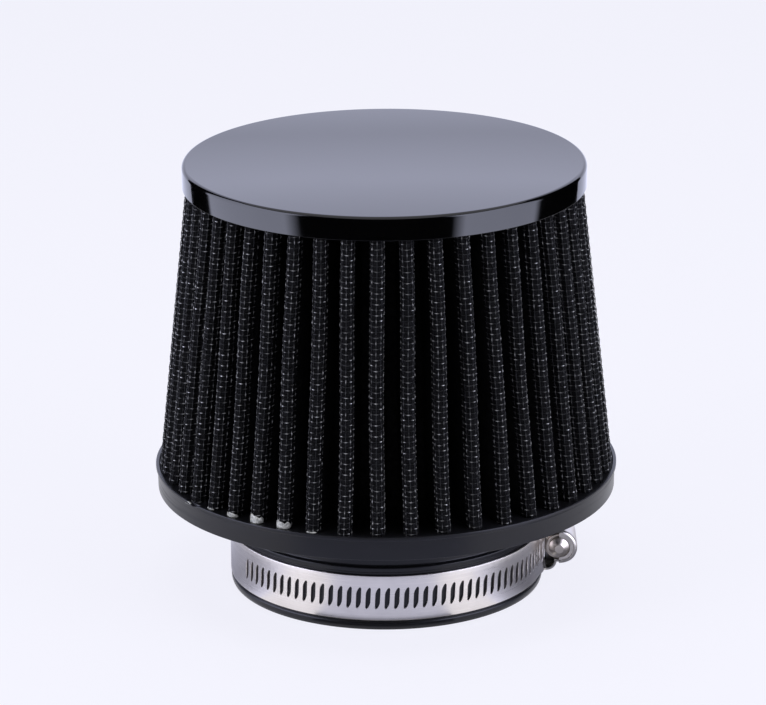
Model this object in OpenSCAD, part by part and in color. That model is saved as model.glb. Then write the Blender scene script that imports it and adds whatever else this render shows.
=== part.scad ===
// Clamp-on conical air filter: pleated gauze pack, black cap, rubber base and worm-drive clamp.
// Millimetres. Z is the axis of the filter, z = 0 is the open end of the neck, -Y is the front.
// Angles named "at" or "from" are degrees round the axis from the front, anticlockwise from above.

/* [Neck and base] */
// Bore of the rubber neck
neck_bore_d = 76.2; // [63.5:0.1:76.2]
// Thickness of the neck's wall
neck_wall = 4.35; // [3.8:0.05:4.35]
// Height of the sharp lower edge of the flange
flange_z = 27.5; // [26:0.5:28]
// Height of the top of the rim round the pleats
rim_z = 34; // [33.5:0.1:35]
// Diameter over the rim
rim_d = 126.4; // [126.4:0.2:130]
// How far the rim stands out over the flange's side
rim_lip = 0.5; // [0.3:0.1:0.8]

/* [Pleated pack] */
// Number of pleats
pleats = 46; // [40:1:46]
// Diameter over the pleats at the rim
pack_d_low = 124; // [122:0.2:124]
// Gap between the pleats' crests and the cap's skirt at its lower edge
crest_gap = 0.4; // [0.4:0.05:1]
// Depth of a pleat from the outside to the inside of the pack
pleat_depth = 15; // [12:0.5:15]
// Width of a pleat at its crest
crest_w = 4.2; // [3.4:0.1:4.2]
// Thickness of each wire screen
screen_t = 0.3; // [0.2:0.05:0.35]
// Thickness of the gauze between the screens
gauze_t = 0.8; // [0.5:0.1:0.8]
// How far the pleats are sunk in the base
foot_depth = 3.3; // [2:0.1:4]
// How far the pleats are sunk in the potting under the cap
head_depth = 3.4; // [2:0.1:3.8]

/* [Cap] */
// Overall height of the filter
total_h = 118.6; // [110:0.2:130]
// Diameter over the cap
cap_d = 109; // [107:0.2:112]
// Height of the cap's skirt
skirt_h = 6.3; // [6:0.1:8]
// Sheet thickness of the cap
cap_t = 0.5; // [0.4:0.05:0.6]
// Outside radius of the cap's edge
cap_edge_r = 1.2; // [0.8:0.1:2]

/* [Clamp] */
// Width of the band
band_w = 12.7; // [12:0.1:12.7]
// Thickness of the band
band_t = 0.6; // [0.5:0.05:0.6]
// Height of the band's lower edge
band_z = 2.8; // [2.8:0.1:3]
// Width of a slot in the band
slot_w = 1.05; // [0.95:0.05:1.1]
// Length of a slot in the band
slot_l = 6.1; // [5.5:0.1:6.5]
// Lean of the slots
slot_lean = 8; // [6:0.5:9]
// Number of slots from the screw round the front
front_slots = 44; // [30:1:46]
// Number of slots in the free tail behind the screw
tail_slots = 14; // [8:1:18]
// Distance of the screw's axis from the filter's axis
screw_x = 47.5; // [47.5:0.05:47.6]
// Diameter over the worm's thread
worm_d = 8.2; // [8.1:0.05:8.2]
// Distance from one turn of the worm to the next
worm_lead = 2.54; // [2.54:0.01:2.56]
// Width across the flats of the screw's head
hex_af = 8; // [7:0.5:8]

/* [Hidden] */
$fn = 96;
over = 1;
bond_gap = 0.03;
neck_r = neck_bore_d / 2 + neck_wall;

// Base: everything the section of the moulded rubber is made from
rim_r = rim_d / 2;
side_r = rim_r - rim_lip;
rim_rise = 0.3;
base_top_z = rim_z - rim_rise;
rim_t = 1;
lead_in = 0.6;
mouth_r = 1.5;
lower_bead_r = 1.2;
lower_bead_out = 0.5;
upper_bead_r = 0.9;
upper_bead_out = 0.75;
bead_above = 1.7;
upper_bead_z = band_z + band_w + bead_above;
root_r = 7;

// Pack: two screens with the gauze between them, all folded together
fold_r = crest_w / 2;
ply_gap = 0.02;
gauze_in = screen_t + ply_gap;
inner_in = gauze_in + gauze_t + ply_gap;
pack_t = inner_in + screen_t;
valley_spread = 1;
crest_steps = [-75, -25, 25, 75];
valley_steps = [-72, 0, 72];
skirt_z = total_h - skirt_h;
pack_d_high = cap_d - 2 * (cap_t + crest_gap);
taper = (pack_d_low - pack_d_high) / 2 / (skirt_z - rim_z);
foot_z = base_top_z - foot_depth;
potting_rise = 0.9;
potting_z = skirt_z + potting_rise;
head_z = potting_z + head_depth;
first_crest = -2.1;
even_drift = 1;
right_drift = 2.6;
front_drift = 0.95;

// Clamp: the band lies on the neck, and its slotted end climbs over its plain end at the screw
strap_gap = 0.05;
lap_gap = 0.1;
band_r = neck_r + strap_gap;
tail_r = band_r + band_t + lap_gap;
band_mid = band_z + band_w / 2;
slot_step = 3.37;
screw_at = 90;
plain_end = screw_at - 6.5;
climb_from = screw_at - 15;
climb_to = screw_at - 9;
tail_tip = screw_at + (tail_slots + 3) * slot_step;
tail_corner_r = 3;
corner_bite = 0.3;
strap_lap = 1;
climb_inset = 0.05;
lapped_slots = 2;

// Housing and screw: places along the screw count from the middle of the housing towards the tip
worm_r = worm_d / 2;
worm_gap = 0.1;
housing_t = 0.8;
arch_r = worm_r + worm_gap + housing_t;
lip_rise = 0.25;
lip_r = arch_r + lip_rise;
lip_tip = 6.2;
base_half = 4.6;
arch_end = -6.2;
saddle_drop = 0.9;
saddle_x = screw_x - saddle_drop;
saddle_t = 0.7;
front_open = 1;
rear_open = 2.5;
saddle_corner_r = 2.2;
edge_gap = 0.02;
leg_x = band_r + strap_gap;
tip_d = 5.6;
tip_flat_d = 2.4;
tip_end = 7;
tip_chamfer = 1.25;
worm_from = -5.1;
worm_to = 4.6;
thread_depth = 0.7;
worm_root_r = worm_r - thread_depth;
thread_half_root = 0.45;
thread_half_crest = 0.22;
thread_sink = 0.1;
worm_side_turns = 1;
journal_r = 2.95;
collar_r = worm_r;
collar_t = 1.2;
shoulder_r = 3.6;
shoulder_t = 1.5;
head_h = 4.4;
head_face_share = 0.96;
head_slot_w = 1.2;
head_slot_h = 1.7;

// A point at radius r and angle a round the axis
function round_xy(a, r) = [r * sin(a), -r * cos(a)];

// Where pleat k has its crest: even steps with the slow drift of pleats spread by hand
function crest_at(k) = let (a = first_crest + k * 360 / pleats)
    a + even_drift * sin(a) + right_drift * (1 - cos(a)) + front_drift * sin(3 * a);

// Radius over the crests at height z
function crest_r(z) = pack_d_low / 2 - taper * (z - rim_z);

// One crest fold and the valley fold after it, t inside the pack's outer surface
function fold(k, z, t) = let (
        a = crest_at(k),
        b = crest_at(k + 1),
        middle = (a + b) / 2,
        valley_bed = crest_r(z) - pleat_depth + pack_t,
        valley_r = (valley_bed + valley_spread) * sin((b - a) / 2) - fold_r)
    [for (e = crest_steps) round_xy(a, crest_r(z) - fold_r) + round_xy(a + e, fold_r - t),
     for (e = valley_steps) round_xy(middle, valley_bed + valley_r) + round_xy(middle + 180 - e, valley_r + t)];

// The whole folded line at height z
function folded_ring(z, t) = [for (k = [0 : pleats - 1]) for (p = fold(k, z, t)) [p.x, p.y, z]];

// A folded layer between two depths in the pack, from z0 up to z1
module folded_layer(z0, z1, t_out, t_in) {
    n = pleats * (len(crest_steps) + len(valley_steps));
    points = concat(folded_ring(z0, t_out), folded_ring(z0, t_in), folded_ring(z1, t_out), folded_ring(z1, t_in));
    faces = [for (i = [0 : n - 1]) let (j = (i + 1) % n) each [
        [i, 2 * n + i, 2 * n + j], [i, 2 * n + j, j],
        [n + i, n + j, 3 * n + j], [n + i, 3 * n + j, 3 * n + i],
        [i, j, n + j], [i, n + j, n + i],
        [2 * n + i, 3 * n + i, 3 * n + j], [2 * n + i, 3 * n + j, 2 * n + j]]];
    polyhedron(points = points, faces = faces, convexity = 20);
}

// Rectangle from x0 to x1 and h to each side of the middle, its corners at x1 rounded
module half_rounded(x0, x1, h, r) {
    translate([x0, -h]) square([x1 - r - x0, 2 * h]);
    translate([x0, r - h]) square([x1 - x0, 2 * (h - r)]);
    for (side = [-1, 1]) translate([x1 - r, side * (h - r)]) circle(r = r);
}

// Half section of the stamped cap, of the space inside it, or of what fills that space
module cap_section(r, bottom, top, edge_r) {
    translate([0, bottom]) square([r, top - edge_r - bottom]);
    translate([0, bottom]) square([r - edge_r, top - bottom]);
    intersection() {
        translate([r - edge_r, top - edge_r]) circle(r = edge_r);
        translate([0, bottom]) square([r, top - bottom]);
    }
}

module top_cap() {
    color([0.03, 0.03, 0.035]) rotate_extrude() difference() {
        cap_section(cap_d / 2, skirt_z, total_h, cap_edge_r);
        cap_section(cap_d / 2 - cap_t, skirt_z - over, total_h - cap_t, cap_edge_r - cap_t);
    }
}

module cap_potting() {
    color([0.1, 0.1, 0.1]) difference() {
        rotate_extrude() cap_section(cap_d / 2 - cap_t - bond_gap, potting_z, total_h - cap_t, cap_edge_r - cap_t);
        folded_layer(potting_z - over, head_z, -bond_gap, pack_t + bond_gap);
    }
}

module outer_screen() {
    color([0.09, 0.09, 0.1]) folded_layer(foot_z, head_z, 0, screen_t);
}

module filter_gauze() {
    color([0.05, 0.05, 0.06]) folded_layer(foot_z, head_z, gauze_in, gauze_in + gauze_t);
}

module inner_screen() {
    color([0.09, 0.09, 0.1]) folded_layer(foot_z, head_z, inner_in, pack_t);
}

// Half section of the moulded base: neck, beads, root, flange and rim
module base_section() {
    bore_r = neck_bore_d / 2;
    difference() {
        union() {
            translate([bore_r, 0]) square([neck_wall, base_top_z]);
            translate([neck_r + lower_bead_out - lower_bead_r, lower_bead_r]) circle(r = lower_bead_r);
            translate([neck_r + upper_bead_out - upper_bead_r, upper_bead_z]) circle(r = upper_bead_r);
            translate([neck_r - over, flange_z - root_r]) square([root_r + over, root_r + over]);
            translate([bore_r, flange_z]) square([side_r - bore_r, base_top_z - flange_z]);
            translate([rim_r - rim_t - rim_lip, rim_z - rim_t]) square([rim_t, rim_t]);
            translate([rim_r - rim_t / 2, rim_z - rim_t / 2]) circle(r = rim_t / 2);
        }
        translate([neck_r + root_r, flange_z - root_r]) circle(r = root_r);
        translate([bore_r, -lead_in]) rotate(45) square(lead_in * sqrt(2), center = true);
        translate([bore_r - over, base_top_z - mouth_r]) difference() {
            square([mouth_r + over, mouth_r + over]);
            translate([mouth_r + over, 0]) circle(r = mouth_r);
        }
    }
}

module rubber_base() {
    color([0.16, 0.16, 0.18]) difference() {
        rotate_extrude() base_section();
        folded_layer(foot_z, rim_z + over, -bond_gap, pack_t + bond_gap);
    }
}

// Part of the band, bent round the filter's axis
module strap(r, from, to) {
    translate([0, 0, band_z])
        rotate_extrude(angle = to - from, start = from - 90) translate([r, 0]) square([band_t, band_w]);
}

// Short straight stretch where the band climbs from the neck over its own plain end
module climb() {
    from = climb_from - strap_lap;
    to = climb_to + strap_lap;
    translate([0, 0, band_z]) linear_extrude(height = band_w)
        polygon([round_xy(from, band_r + climb_inset), round_xy(to, tail_r + climb_inset),
                 round_xy(to, tail_r + band_t - climb_inset), round_xy(from, band_r + band_t - climb_inset)]);
}

// Cutter outwards from radius r at one angle, drawn flat as x round the band and y up it
module through_band(at, r) {
    rotate([0, 0, at]) translate([0, -r, band_mid]) rotate([90, 0, 0])
        linear_extrude(height = 4 * over) children();
}

module slot_outline() {
    rotate(-slot_lean) {
        square([slot_w, slot_l - slot_w], center = true);
        for (end = [-1, 1]) translate([0, end * (slot_l - slot_w) / 2]) circle(d = slot_w);
    }
}

// Corners of the tail's end, rounded by circles that reach a little past its two edges and its end
module tail_corners() {
    corner_x = corner_bite - tail_corner_r;
    corner_y = band_w / 2 - tail_corner_r + corner_bite;
    for (side = [-1, 1]) difference() {
        translate([corner_x, side > 0 ? corner_y : -corner_y - tail_corner_r - over]) square(tail_corner_r + over);
        translate([corner_x, side * corner_y]) circle(r = tail_corner_r);
    }
}

module clamp_band() {
    above_lap = tail_r - lap_gap / 2;
    color([0.75, 0.75, 0.77]) difference() {
        union() {
            strap(band_r, plain_end, 360 + climb_from + strap_lap);
            climb();
            strap(tail_r, climb_to - strap_lap, tail_tip);
        }
        for (i = [-tail_slots : front_slots])
            through_band(screw_at - i * slot_step, i > lapped_slots ? band_r - over : above_lap) slot_outline();
        through_band(tail_tip, above_lap) tail_corners();
    }
}

// Solid between two places along the screw, from a section drawn square to the screw
module along_screw(from, to) {
    translate([0, -from, band_mid]) rotate([90, 0, 0]) linear_extrude(height = to - from) children();
}

module arch_section(hole_r, open_x) {
    difference() {
        translate([screw_x, 0]) circle(r = arch_r);
        translate([screw_x, 0]) circle(r = hole_r);
        translate([open_x - 2 * arch_r, -arch_r - over]) square([2 * arch_r, 2 * (arch_r + over)]);
    }
}

module saddle_section() {
    difference() {
        half_rounded(leg_x, saddle_x, band_w / 2 + edge_gap + saddle_t, saddle_corner_r);
        translate([-over, 0]) half_rounded(leg_x, saddle_x - saddle_t + over, band_w / 2 + edge_gap,
                                           saddle_corner_r - saddle_t);
        translate([screw_x, 0]) circle(r = worm_r + worm_gap);
    }
}

module clamp_housing() {
    wall_t = worm_from - worm_gap - arch_end;
    color([0.78, 0.78, 0.8]) {
        along_screw(-base_half, base_half) saddle_section();
        along_screw(-base_half, base_half) arch_section(worm_r + worm_gap, saddle_x - saddle_t);
        along_screw(arch_end, -base_half) arch_section(worm_r + worm_gap, screw_x - front_open);
        along_screw(arch_end, arch_end + wall_t) arch_section(journal_r + worm_gap, screw_x - rear_open);
        translate([screw_x, -base_half, band_mid]) rotate([90, 0, 0])
            rotate_extrude(angle = 180, start = -90) translate([worm_r, 0]) lip_section();
    }
}

// Section of the half-round lip at the front of the housing, rounded at its outer corner
module lip_section() {
    lip_t = lip_r - worm_r;
    lip_h = lip_tip - base_half;
    corner_r = 0.5;
    square([lip_t - corner_r, lip_h]);
    square([lip_t, lip_h - corner_r]);
    translate([lip_t - corner_r, lip_h - corner_r]) circle(r = corner_r);
}

// The worm's turns, each a ridge that leans as the thread does where it meets the band's slots
module worm_turns() {
    turn_lean = atan(worm_lead / (PI * (worm_r + worm_root_r)));
    for (turn = [-worm_side_turns : worm_side_turns]) translate([0, 0, turn * worm_lead]) rotate([-turn_lean, 0, 0])
        rotate_extrude() polygon([[0, -thread_half_root], [worm_root_r - thread_sink, -thread_half_root],
                                  [worm_r, -thread_half_crest], [worm_r, thread_half_crest],
                                  [worm_root_r - thread_sink, thread_half_root], [0, thread_half_root]]);
}

module hex_head() {
    across_corners = hex_af * 2 / sqrt(3);
    difference() {
        intersection() {
            cylinder(d = across_corners, h = head_h, $fn = 6);
            cylinder(d1 = hex_af * head_face_share, d2 = hex_af * head_face_share + 4 * head_h, h = head_h);
        }
        translate([-hex_af, -head_slot_w / 2, -over]) cube([2 * hex_af, head_slot_w, head_slot_h + over]);
    }
}

module clamp_screw() {
    collar_z = arch_end - worm_gap - collar_t;
    color([0.8, 0.8, 0.8]) translate([screw_x, 0, band_mid]) rotate([90, 0, 0]) {
        translate([0, 0, tip_end - tip_chamfer]) cylinder(d1 = tip_d, d2 = tip_flat_d, h = tip_chamfer);
        translate([0, 0, worm_to]) cylinder(d = tip_d, h = tip_end - tip_chamfer - worm_to);
        translate([0, 0, worm_from]) cylinder(r = worm_root_r, h = worm_to - worm_from);
        worm_turns();
        translate([0, 0, collar_z + collar_t]) cylinder(r = journal_r, h = worm_from - collar_z - collar_t);
        translate([0, 0, collar_z]) cylinder(r = collar_r, h = collar_t);
        translate([0, 0, collar_z - shoulder_t]) cylinder(r = shoulder_r, h = shoulder_t);
        translate([0, 0, collar_z - shoulder_t - head_h]) hex_head();
    }
}

top_cap();
cap_potting();
outer_screen();
filter_gauze();
inner_screen();
rubber_base();
clamp_band();
clamp_housing();
clamp_screw();
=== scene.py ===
import bpy
import bmesh
import numpy as np
from mathutils import Matrix, Vector


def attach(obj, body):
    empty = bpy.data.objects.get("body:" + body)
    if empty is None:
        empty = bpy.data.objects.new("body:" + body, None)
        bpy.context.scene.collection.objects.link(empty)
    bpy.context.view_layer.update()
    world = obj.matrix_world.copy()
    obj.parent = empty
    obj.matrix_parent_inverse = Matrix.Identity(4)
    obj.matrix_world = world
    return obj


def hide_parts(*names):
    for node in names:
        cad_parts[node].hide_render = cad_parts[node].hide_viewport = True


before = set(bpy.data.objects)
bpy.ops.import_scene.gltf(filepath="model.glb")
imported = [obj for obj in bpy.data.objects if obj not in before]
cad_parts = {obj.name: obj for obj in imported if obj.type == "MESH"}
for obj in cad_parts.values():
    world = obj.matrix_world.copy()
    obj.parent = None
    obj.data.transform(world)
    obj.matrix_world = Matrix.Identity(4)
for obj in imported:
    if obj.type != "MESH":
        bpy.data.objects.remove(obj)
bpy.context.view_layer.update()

mm = 0.001
joinWithin = 0.002 * mm  # points closer than this become one


# Mesh helpers

def gridQuads(rows, cols, wrapRows=False, wrapCols=False):
    # quads between neighbours of a rows x cols grid of points, joined round where asked
    r = np.arange(rows if wrapRows else rows - 1)
    c = np.arange(cols if wrapCols else cols - 1)
    r, c = np.meshgrid(r, c, indexing="ij")
    nextR = (r + 1) % rows
    nextC = (c + 1) % cols
    quads = [r * cols + c, r * cols + nextC, nextR * cols + nextC, nextR * cols + c]
    return np.stack(quads, -1).reshape(-1, 4)


def addPiece(name, points, faces, material, slotName, nodeNames, uv=None, sharpAngle=None,
             merge=False, ends=False):
    # points in millimetres, faces wound so that they point outwards, uv one pair for each point;
    # merge joins points that coincide, and ends fills what is open, such as the ends of a tube
    mesh = bpy.data.meshes.new(name)
    mesh.vertices.add(len(points))
    mesh.vertices.foreach_set("co", (points * mm).astype(np.float32).ravel())
    mesh.loops.add(faces.size)
    mesh.loops.foreach_set("vertex_index", faces.astype(np.int32).ravel())
    mesh.polygons.add(len(faces))
    mesh.polygons.foreach_set("loop_start", np.arange(0, faces.size, faces.shape[1], dtype=np.int32))
    mesh.update(calc_edges=True)
    if uv is not None:
        layer = mesh.uv_layers.new(name="surface")
        layer.data.foreach_set("uv", uv[faces.ravel()].astype(np.float32).ravel())
    mesh.validate()
    if merge or ends:
        work = bmesh.new()
        work.from_mesh(mesh)
        if merge:
            bmesh.ops.remove_doubles(work, verts=work.verts, dist=joinWithin)
        if ends:
            bmesh.ops.holes_fill(work, edges=[e for e in work.edges if e.is_boundary])
            bmesh.ops.recalc_face_normals(work, faces=work.faces)
            if work.calc_volume(signed=True) < 0:
                bmesh.ops.reverse_faces(work, faces=work.faces)
        work.to_mesh(mesh)
        work.free()
    mesh.polygons.foreach_set("use_smooth", np.ones(len(mesh.polygons), bool))
    if sharpAngle:
        mesh.set_sharp_from_angle(angle=np.radians(sharpAngle))
    mesh.materials.append(material)
    piece = bpy.data.objects.new(name, mesh)
    bpy.context.scene.collection.objects.link(piece)
    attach(piece, "root")
    if nodeNames:
        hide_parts(*nodeNames)
    print("made", name, len(mesh.polygons), "faces")


def around(angle, radius):
    # (radius sin angle, -radius cos angle): the angle is in degrees from the front
    turn = np.radians(angle)
    return np.stack([radius * np.sin(turn), -radius * np.cos(turn)], -1)


def roundedLine(corners, arcSteps=7):
    # a line through (r, z, fillet) corners, each fillet an arc between its two tangent points
    corners = [np.array(c, float) for c in corners]
    line = []
    for i, corner in enumerate(corners):
        p = corner[:2]
        before = corners[i - 1][:2] - p
        after = corners[(i + 1) % len(corners)][:2] - p
        if corner[2] <= 0:
            line.append(p[None])
            continue
        before /= np.linalg.norm(before)
        after /= np.linalg.norm(after)
        half = np.arccos(np.clip(before @ after, -1, 1)) / 2
        middle = before + after
        centre = p + middle / np.linalg.norm(middle) * corner[2] / np.sin(half)
        start = p + before * corner[2] / np.tan(half) - centre
        end = p + after * corner[2] / np.tan(half) - centre
        a0 = np.arctan2(start[1], start[0])
        sweep = (np.arctan2(end[1], end[0]) - a0 + np.pi) % (2 * np.pi) - np.pi
        a = a0 + sweep * np.linspace(0, 1, arcSteps)
        line.append(centre + corner[2] * np.stack([np.cos(a), np.sin(a)], -1))
    return np.concatenate(line)


def turned(line, steps):
    # surface of revolution: (r sin a, -r cos a, z) for each point of a closed line and each angle a
    angles = np.linspace(0, 360, steps, endpoint=False)
    xy = around(angles[None, :], line[:, None, 0])
    z = np.broadcast_to(line[:, None, 1], xy.shape[:2])
    points = np.concatenate([xy, z[..., None]], -1).reshape(-1, 3)
    return points, gridQuads(len(line), steps, wrapRows=True, wrapCols=True)


# Shader helpers

def feed(socket, value):
    # links an input socket to an output socket, or sets its value
    if isinstance(value, bpy.types.NodeSocket):
        socket.id_data.links.new(value, socket)
    else:
        socket.default_value = value


def addNode(tree, kind, place, **values):
    # each value goes to the input of that name, or else to the node's own setting
    node = tree.nodes.new(kind)
    node.location = place
    for key, value in values.items():
        if key in node.inputs:
            feed(node.inputs[key], value)
        else:
            setattr(node, key, value)
    return node


def calc(tree, place, operation, first, second, **values):
    # a Math node on two inputs, each a number or a socket
    node = addNode(tree, "ShaderNodeMath", place, operation=operation, **values)
    for socket, value in zip(node.inputs, (first, second)):
        feed(socket, value)
    return node.outputs[0]


def ramp(tree, place, source, stops):
    # a grey ramp through (position, value) stops
    node = addNode(tree, "ShaderNodeValToRGB", place, Fac=source)
    elements = node.color_ramp.elements
    while len(elements) < len(stops):
        elements.new(0.5)
    for element, (position, value) in zip(elements, stops):
        element.position = position
        element.color = (value, value, value, 1)
    return node.outputs["Color"]


def newGroup(name, inputs, outputs):
    # inputs by name with their defaults (one number, or else a vector), and outputs by name
    group = bpy.data.node_groups.new(name, "ShaderNodeTree")
    for label, value in inputs.items():
        kind = "NodeSocketFloat" if isinstance(value, float) else "NodeSocketVector"
        socket = group.interface.new_socket(name=label, in_out="INPUT", socket_type=kind)
        if value is not None:
            socket.default_value = value
    for label in outputs:
        group.interface.new_socket(name=label, in_out="OUTPUT", socket_type="NodeSocketFloat")
    start = addNode(group, "NodeGroupInput", (-900, 0))
    end = addNode(group, "NodeGroupOutput", (700, 0))
    return group, start.outputs, end.inputs


def grainGroup():
    # fine unevenness: a height made of coarse and fine noise, and a mask of cloudy patches
    group, given, result = newGroup("surfaceGrain", {
        "Vector": None, "Coarse": 300.0, "Fine": 3000.0}, ["Height", "Patches"])
    coarse = addNode(group, "ShaderNodeTexNoise", (-600, 200), Vector=given["Vector"],
                     Scale=given["Coarse"], Detail=3.0, Roughness=0.55)
    fine = addNode(group, "ShaderNodeTexNoise", (-600, -100), Vector=given["Vector"],
                   Scale=given["Fine"], Detail=2.0, Roughness=0.6)
    both = addNode(group, "ShaderNodeMix", (-200, 100), data_type="FLOAT")
    for socket, value in zip((0, 2, 3), (0.6, coarse.outputs["Fac"], fine.outputs["Fac"])):
        feed(both.inputs[socket], value)
    feed(result["Height"], both.outputs[0])
    patches = ramp(group, (-200, -300), coarse.outputs["Fac"], [(0.35, 0.0), (0.68, 1.0)])
    feed(result["Patches"], patches)
    return group


def speckGroup():
    # sparse specks: cells whose own random value passes Share, within Size of their middle
    group, given, result = newGroup("sparseSpecks", {
        "Vector": None, "Scale": 400.0, "Size": 0.12, "Share": 0.9}, ["Mask"])
    cells = addNode(group, "ShaderNodeTexVoronoi", (-600, 0), feature="F1", Vector=given["Vector"],
                    Scale=given["Scale"])
    split = addNode(group, "ShaderNodeSeparateColor", (-400, -200), Color=cells.outputs["Color"])
    near = calc(group, (-300, 100), "LESS_THAN", cells.outputs["Distance"], given["Size"])
    chosen = calc(group, (-200, -200), "GREATER_THAN", split.outputs["Red"], given["Share"])
    feed(result["Mask"], calc(group, (100, 0), "MULTIPLY", near, chosen))
    return group


def strokeGroup():
    # drawn-out streaks: noise on coordinates stretched along one way, and a mask of what passes Threshold
    group, given, result = newGroup("drawnStrokes", {
        "Vector": None, "Stretch": (40.0, 40.0, 4000.0), "Threshold": 0.5}, ["Height", "Mask"])
    scaled = addNode(group, "ShaderNodeVectorMath", (-700, 0), operation="MULTIPLY")
    feed(scaled.inputs[0], given["Vector"])
    feed(scaled.inputs[1], given["Stretch"])
    noise = addNode(group, "ShaderNodeTexNoise", (-450, 0), Vector=scaled.outputs["Vector"], Scale=1.0,
                    Detail=4.0, Roughness=0.65)
    feed(result["Height"], noise.outputs["Fac"])
    above = calc(group, (-150, -200), "SUBTRACT", noise.outputs["Fac"], given["Threshold"])
    feed(result["Mask"], calc(group, (50, -200), "MULTIPLY", above, 12.0, use_clamp=True))
    return group


grain = grainGroup()
specks = speckGroup()
strokes = strokeGroup()


def newMaterial(name):
    # a new material, its node tree, its shader and the Object coordinates
    material = bpy.data.materials.new(name)
    material.use_nodes = True
    tree = material.node_tree
    coords = addNode(tree, "ShaderNodeTexCoord", (-1400, 0))
    return material, tree, tree.nodes["Principled BSDF"], coords.outputs["Object"]


def useGroup(tree, group, vector, place, **values):
    # the outputs of a group placed in a material
    return addNode(tree, "ShaderNodeGroup", place, node_tree=group, Vector=vector, **values).outputs


def mixColour(tree, place, mask, first, second):
    # first where the mask is 0, second where it is 1, each a colour or a socket
    node = addNode(tree, "ShaderNodeMix", place, data_type="RGBA")
    for socket, value in zip((0, 6, 7), (mask, first, second)):
        feed(node.inputs[socket], (*value, 1) if isinstance(value, tuple) else value)
    return node.outputs[2]


def mixValue(tree, place, mask, first, second):
    # the same with two numbers
    return addNode(tree, "ShaderNodeMapRange", place, Value=mask,
                   **{"To Min": first, "To Max": second}).outputs["Result"]


def finish(tree, shader, tone, roughness, height, strength, distance):
    # the last links: colour, roughness, and a bump whose distance is in millimetres
    bump = addNode(tree, "ShaderNodeBump", (-300, -400), Height=height, Strength=strength,
                   Distance=distance * mm)
    feed(shader.inputs["Base Color"], tone)
    feed(shader.inputs["Roughness"], roughness)
    feed(shader.inputs["Normal"], bump.outputs["Normal"])


def surfaceUv(tree, place):
    # the two values of the piece's own UV map
    uv = addNode(tree, "ShaderNodeUVMap", place, uv_map="surface")
    split = addNode(tree, "ShaderNodeSeparateXYZ", (place[0] + 180, place[1]), Vector=uv.outputs["UV"])
    return split.outputs["X"], split.outputs["Y"]


def tinted(colour, factor):
    return tuple(factor * c for c in colour)


print("shader groups ready")


# Cap: thin stamped shell, gloss black

capLook = {
    "radius": 54.5, "top": 118.6, "bottom": 112.3, "sheet": 0.5, "edge": 1.15, "taper": 0.02, "lip": 0.1,
    "turns": 384, "edgeSteps": 10, "colour": (0.0012, 0.0012, 0.0014), "markColour": (0.02, 0.02, 0.022),
    "roughness": (0.06, 0.09),
}


def capMaterial():
    # gloss black with a faint haze, a few specks of dust and fine scratches
    material, tree, shader, coords = newMaterial("glossBlackCap")
    dust = useGroup(tree, specks, coords, (-900, 300), Scale=260.0, Size=0.05, Share=0.965)
    haze = useGroup(tree, grain, coords, (-900, 0), Coarse=45.0, Fine=700.0)
    scratches = useGroup(tree, strokes, coords, (-900, -300), Stretch=(60.0, 60.0, 900.0), Threshold=0.71)
    marks = calc(tree, (-600, 200), "MAXIMUM", dust["Mask"], scratches["Mask"])
    tone = mixColour(tree, (-300, 300), marks, capLook["colour"], capLook["markColour"])
    gloss = mixValue(tree, (-300, 100), haze["Patches"], *capLook["roughness"])
    finish(tree, shader, tone, gloss, haze["Height"], 0.02, 0.02)
    return material


def makeCap():
    # turned profile: up the skirt, round the edge, over the flat top, and back inside the sheet
    r, sheet, edge, lip = capLook["radius"], capLook["sheet"], capLook["edge"], capLook["lip"]
    top, bottom = capLook["top"], capLook["bottom"]
    line = roundedLine([
        (r - capLook["taper"], bottom, lip), (r, top, edge), (0, top, 0), (0, top - sheet, 0),
        (r - sheet, top - sheet, edge - sheet), (r - sheet, bottom, lip)], capLook["edgeSteps"])
    points, faces = turned(line, capLook["turns"])
    addPiece("capShell", points, faces, capMaterial(), "cap_black", ["top_cap"], sharpAngle=40, merge=True)


makeCap()


# Base: one rubber moulding, its rim round the pleats and its neck

baseLook = {
    "bore": 38.1, "neck": 42.45, "bead": 42.95, "upperBead": (43.2, 17.2), "flange": 27.5, "side": 62.65,
    "rim": 63.2, "rimWall": 1.1, "rimTop": 34.0, "bed": 33.7, "turns": 360,
    "nickAt": -55.0, "nickWide": 1.7, "nickDeep": 0.8,
    "colour": (0.0056, 0.0056, 0.0070), "dustColour": (0.026, 0.027, 0.034), "roughness": (0.3, 0.42),
    "specular": 0.38, "specularTint": (0.94, 0.94, 1.0, 1.0),
}


def rubberMaterial():
    # black rubber, a little cloudy, with pale dust and rougher flow marks round it
    material, tree, shader, coords = newMaterial("mouldedRubber")
    shader.inputs["Specular IOR Level"].default_value = baseLook["specular"]
    shader.inputs["Specular Tint"].default_value = baseLook["specularTint"]
    body = useGroup(tree, grain, coords, (-900, 200), Coarse=160.0, Fine=2600.0)
    dust = useGroup(tree, specks, coords, (-900, -100), Scale=420.0, Size=0.1, Share=0.94)
    flow = useGroup(tree, strokes, coords, (-900, -400), Stretch=(18.0, 18.0, 500.0), Threshold=0.56)
    colour = baseLook["colour"]
    cloudy = mixColour(tree, (-500, 300), body["Patches"], colour, tinted(colour, 1.25))
    worn = mixColour(tree, (-300, 300), dust["Mask"], cloudy, baseLook["dustColour"])
    gloss = mixValue(tree, (-300, 0), flow["Mask"], *baseLook["roughness"])
    finish(tree, shader, worn, gloss, body["Height"], 0.25, 0.05)
    return material


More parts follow.
